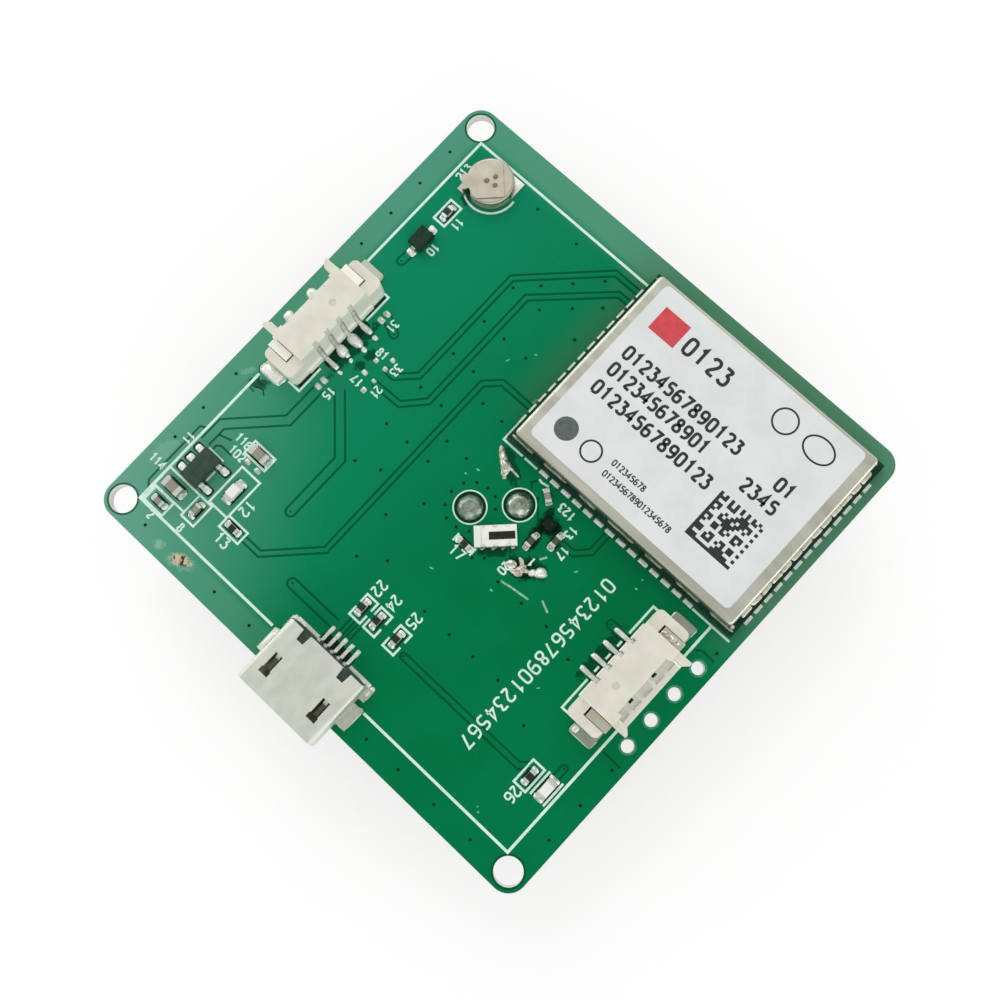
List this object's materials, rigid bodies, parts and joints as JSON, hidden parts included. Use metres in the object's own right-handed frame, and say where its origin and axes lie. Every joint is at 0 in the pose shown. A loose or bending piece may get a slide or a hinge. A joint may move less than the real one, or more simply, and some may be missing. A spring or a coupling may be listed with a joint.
{
  "type": "satellite positioning receiver board",
  "caption": "Square green circuit board with a shielded satellite receiver, cable sockets and a micro-B port on one side and a stacked ceramic patch antenna on the other.",
  "frame": {"origin": "centre of the antenna's outer flat face, on which the part rests", "axes": "+Z out of the component side, +X towards the header row, -Y out of the USB port"},
  "size_m": [0.043, 0.0445, 0.0128],
  "materials": {
    "board_green": "satin green coating over glass-fibre laminate",
    "receiver_laminate": "bare cut edge of a green laminate",
    "tile_ceramic": "fine matt sintered ceramic",
    "silver_print": "fired silver film with a soft sheen",
    "tape": "double-sided foam tape",
    "tinned_metal": "bright tin plating, a little uneven",
    "solder": "smooth reflowed solder",
    "shield_steel": "tinned steel sheet, brushed",
    "white_print": "matt white printed film",
    "chip_black": "matt moulded epoxy",
    "crystal_can": "plated metal lid",
    "cell_steel": "nickel-plated steel with fine marks",
    "coupler_ceramic": "white fired ceramic",
    "resistor_chip": "black glaze between tinned ends",
    "capacitor_chip": "tan ceramic between tinned ends",
    "led_chip": "clear epoxy over a pale base",
    "moulded_case": "matt dark moulded epoxy",
    "socket_plastic": "ivory moulded nylon",
    "usb_steel": "nickel-plated sheet steel",
    "usb_plastic": "dark moulded nylon"
  },
  "bodies": {
    "root": {"circuit_board": "board_green", "antenna_upper_patch": "silver_print", "antenna_upper_tile": "tile_ceramic", "antenna_lower_patch": "silver_print", "antenna_lower_tile": "tile_ceramic", "antenna_tapes": "tape", "antenna_feed_pins": "tinned_metal", "feed_solder_domes": "solder", "receiver_lands": "solder", "receiver_substrate": "receiver_laminate", "receiver_shield": "shield_steel", "receiver_label": "white_print", "receiver_chip": "chip_black", "receiver_memory": "chip_black", "receiver_oscillator": "crystal_can", "receiver_filters": "crystal_can", "backup_cell": "cell_steel", "backup_cell_top_strip": "cell_steel", "backup_cell_base_strip": "cell_steel", "hybrid_coupler": "coupler_ceramic", "coupler_terminals": "tinned_metal", "termination_resistor": "resistor_chip", "low_noise_amplifier": "chip_black", "rf_capacitor_a": "capacitor_chip", "rf_capacitor_b": "capacitor_chip", "rf_capacitor_c": "capacitor_chip", "regulator_case": "moulded_case", "regulator_leads": "tinned_metal", "input_capacitor": "capacitor_chip", "output_capacitor": "capacitor_chip", "bypass_capacitor_left": "capacitor_chip", "bypass_capacitor_right": "capacitor_chip", "power_led": "led_chip", "power_led_resistor": "resistor_chip", "status_led": "led_chip", "status_led_resistor": "resistor_chip", "diode_case": "moulded_case", "diode_leads": "tinned_metal", "cell_resistor": "resistor_chip", "usb_resistor_left": "resistor_chip", "usb_resistor_middle": "resistor_chip", "usb_resistor_right": "resistor_chip", "left_socket_housing": "socket_plastic", "left_socket_contacts": "tinned_metal", "left_socket_anchors": "tinned_metal", "right_socket_housing": "socket_plastic", "right_socket_contacts": "tinned_metal", "right_socket_anchors": "tinned_metal", "usb_shell": "usb_steel", "usb_insulator": "usb_plastic", "usb_contacts": "tinned_metal"}
  },
  "joints": []
}
